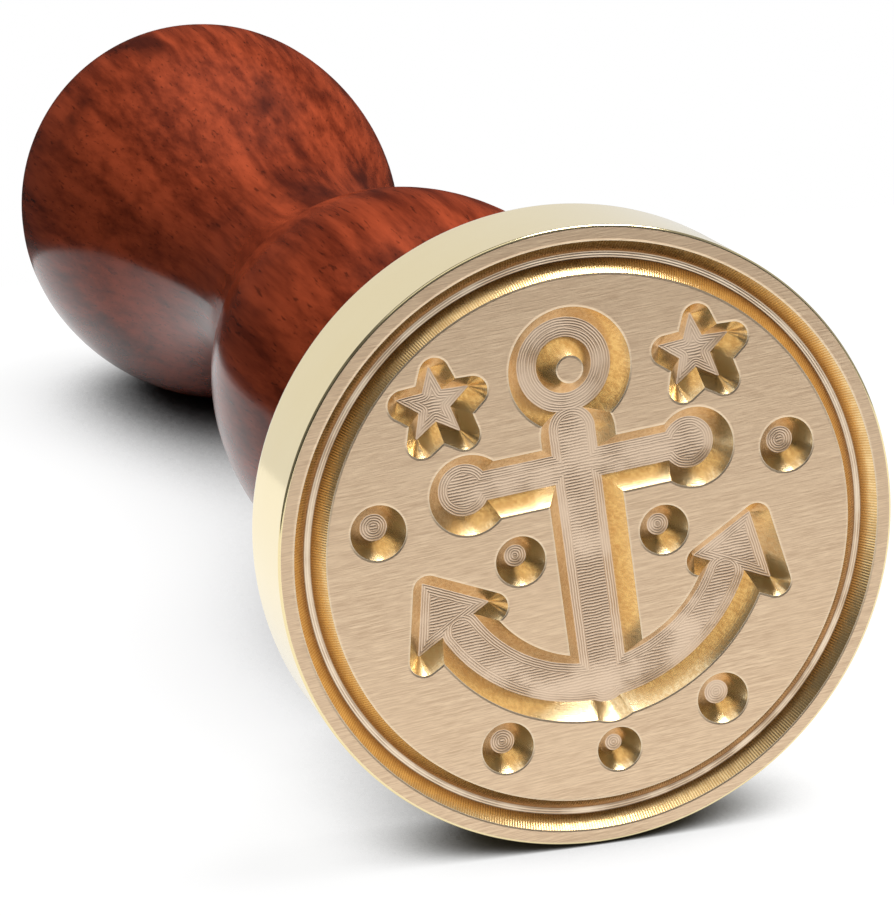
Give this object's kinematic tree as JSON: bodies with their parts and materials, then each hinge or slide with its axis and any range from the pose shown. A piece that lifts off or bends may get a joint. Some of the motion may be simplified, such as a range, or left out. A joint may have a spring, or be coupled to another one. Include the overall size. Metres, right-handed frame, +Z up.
{
  "type": "wax seal stamp",
  "caption": "Wax seal stamp: a round brass head with a deeply engraved face and a ring groove, screwed by a threaded stud to a turned rosewood handle with a waist and a round knob.",
  "frame": {"origin": "centre of the stamping face, in the plane of its rim", "axes": "+Y along the stamp's axis from the stamping face to the knob, +Z up as the stamp lies on its side on a table, +X to the right when looking at the stamping face"},
  "size_m": [0.025, 0.086, 0.025],
  "materials": {
    "brass": "polished side, brushed face, milled engraving",
    "rosewood": "gloss lacquer",
    "steel": "plated thread"
  },
  "bodies": {
    "head": {"seal_head": "brass"},
    "stud": {"stud": "steel"},
    "handle": {"handle": "rosewood"}
  },
  "joints": [
    {"name": "stud_travel", "type": "slide", "parent": "head", "child": "stud", "axis": [0, 1, 0], "range_m": [0, 0.0065]},
    {"name": "handle_turn", "type": "hinge", "parent": "stud", "child": "handle", "pos_m": [0, 0.0145, 0], "axis": [0, 1, 0], "range_deg": [0, 2340]}
  ],
  "couplings": [
    {"joint": "stud_travel", "follows": "handle_turn", "m_per_rad": 0.00015915}
  ]
}
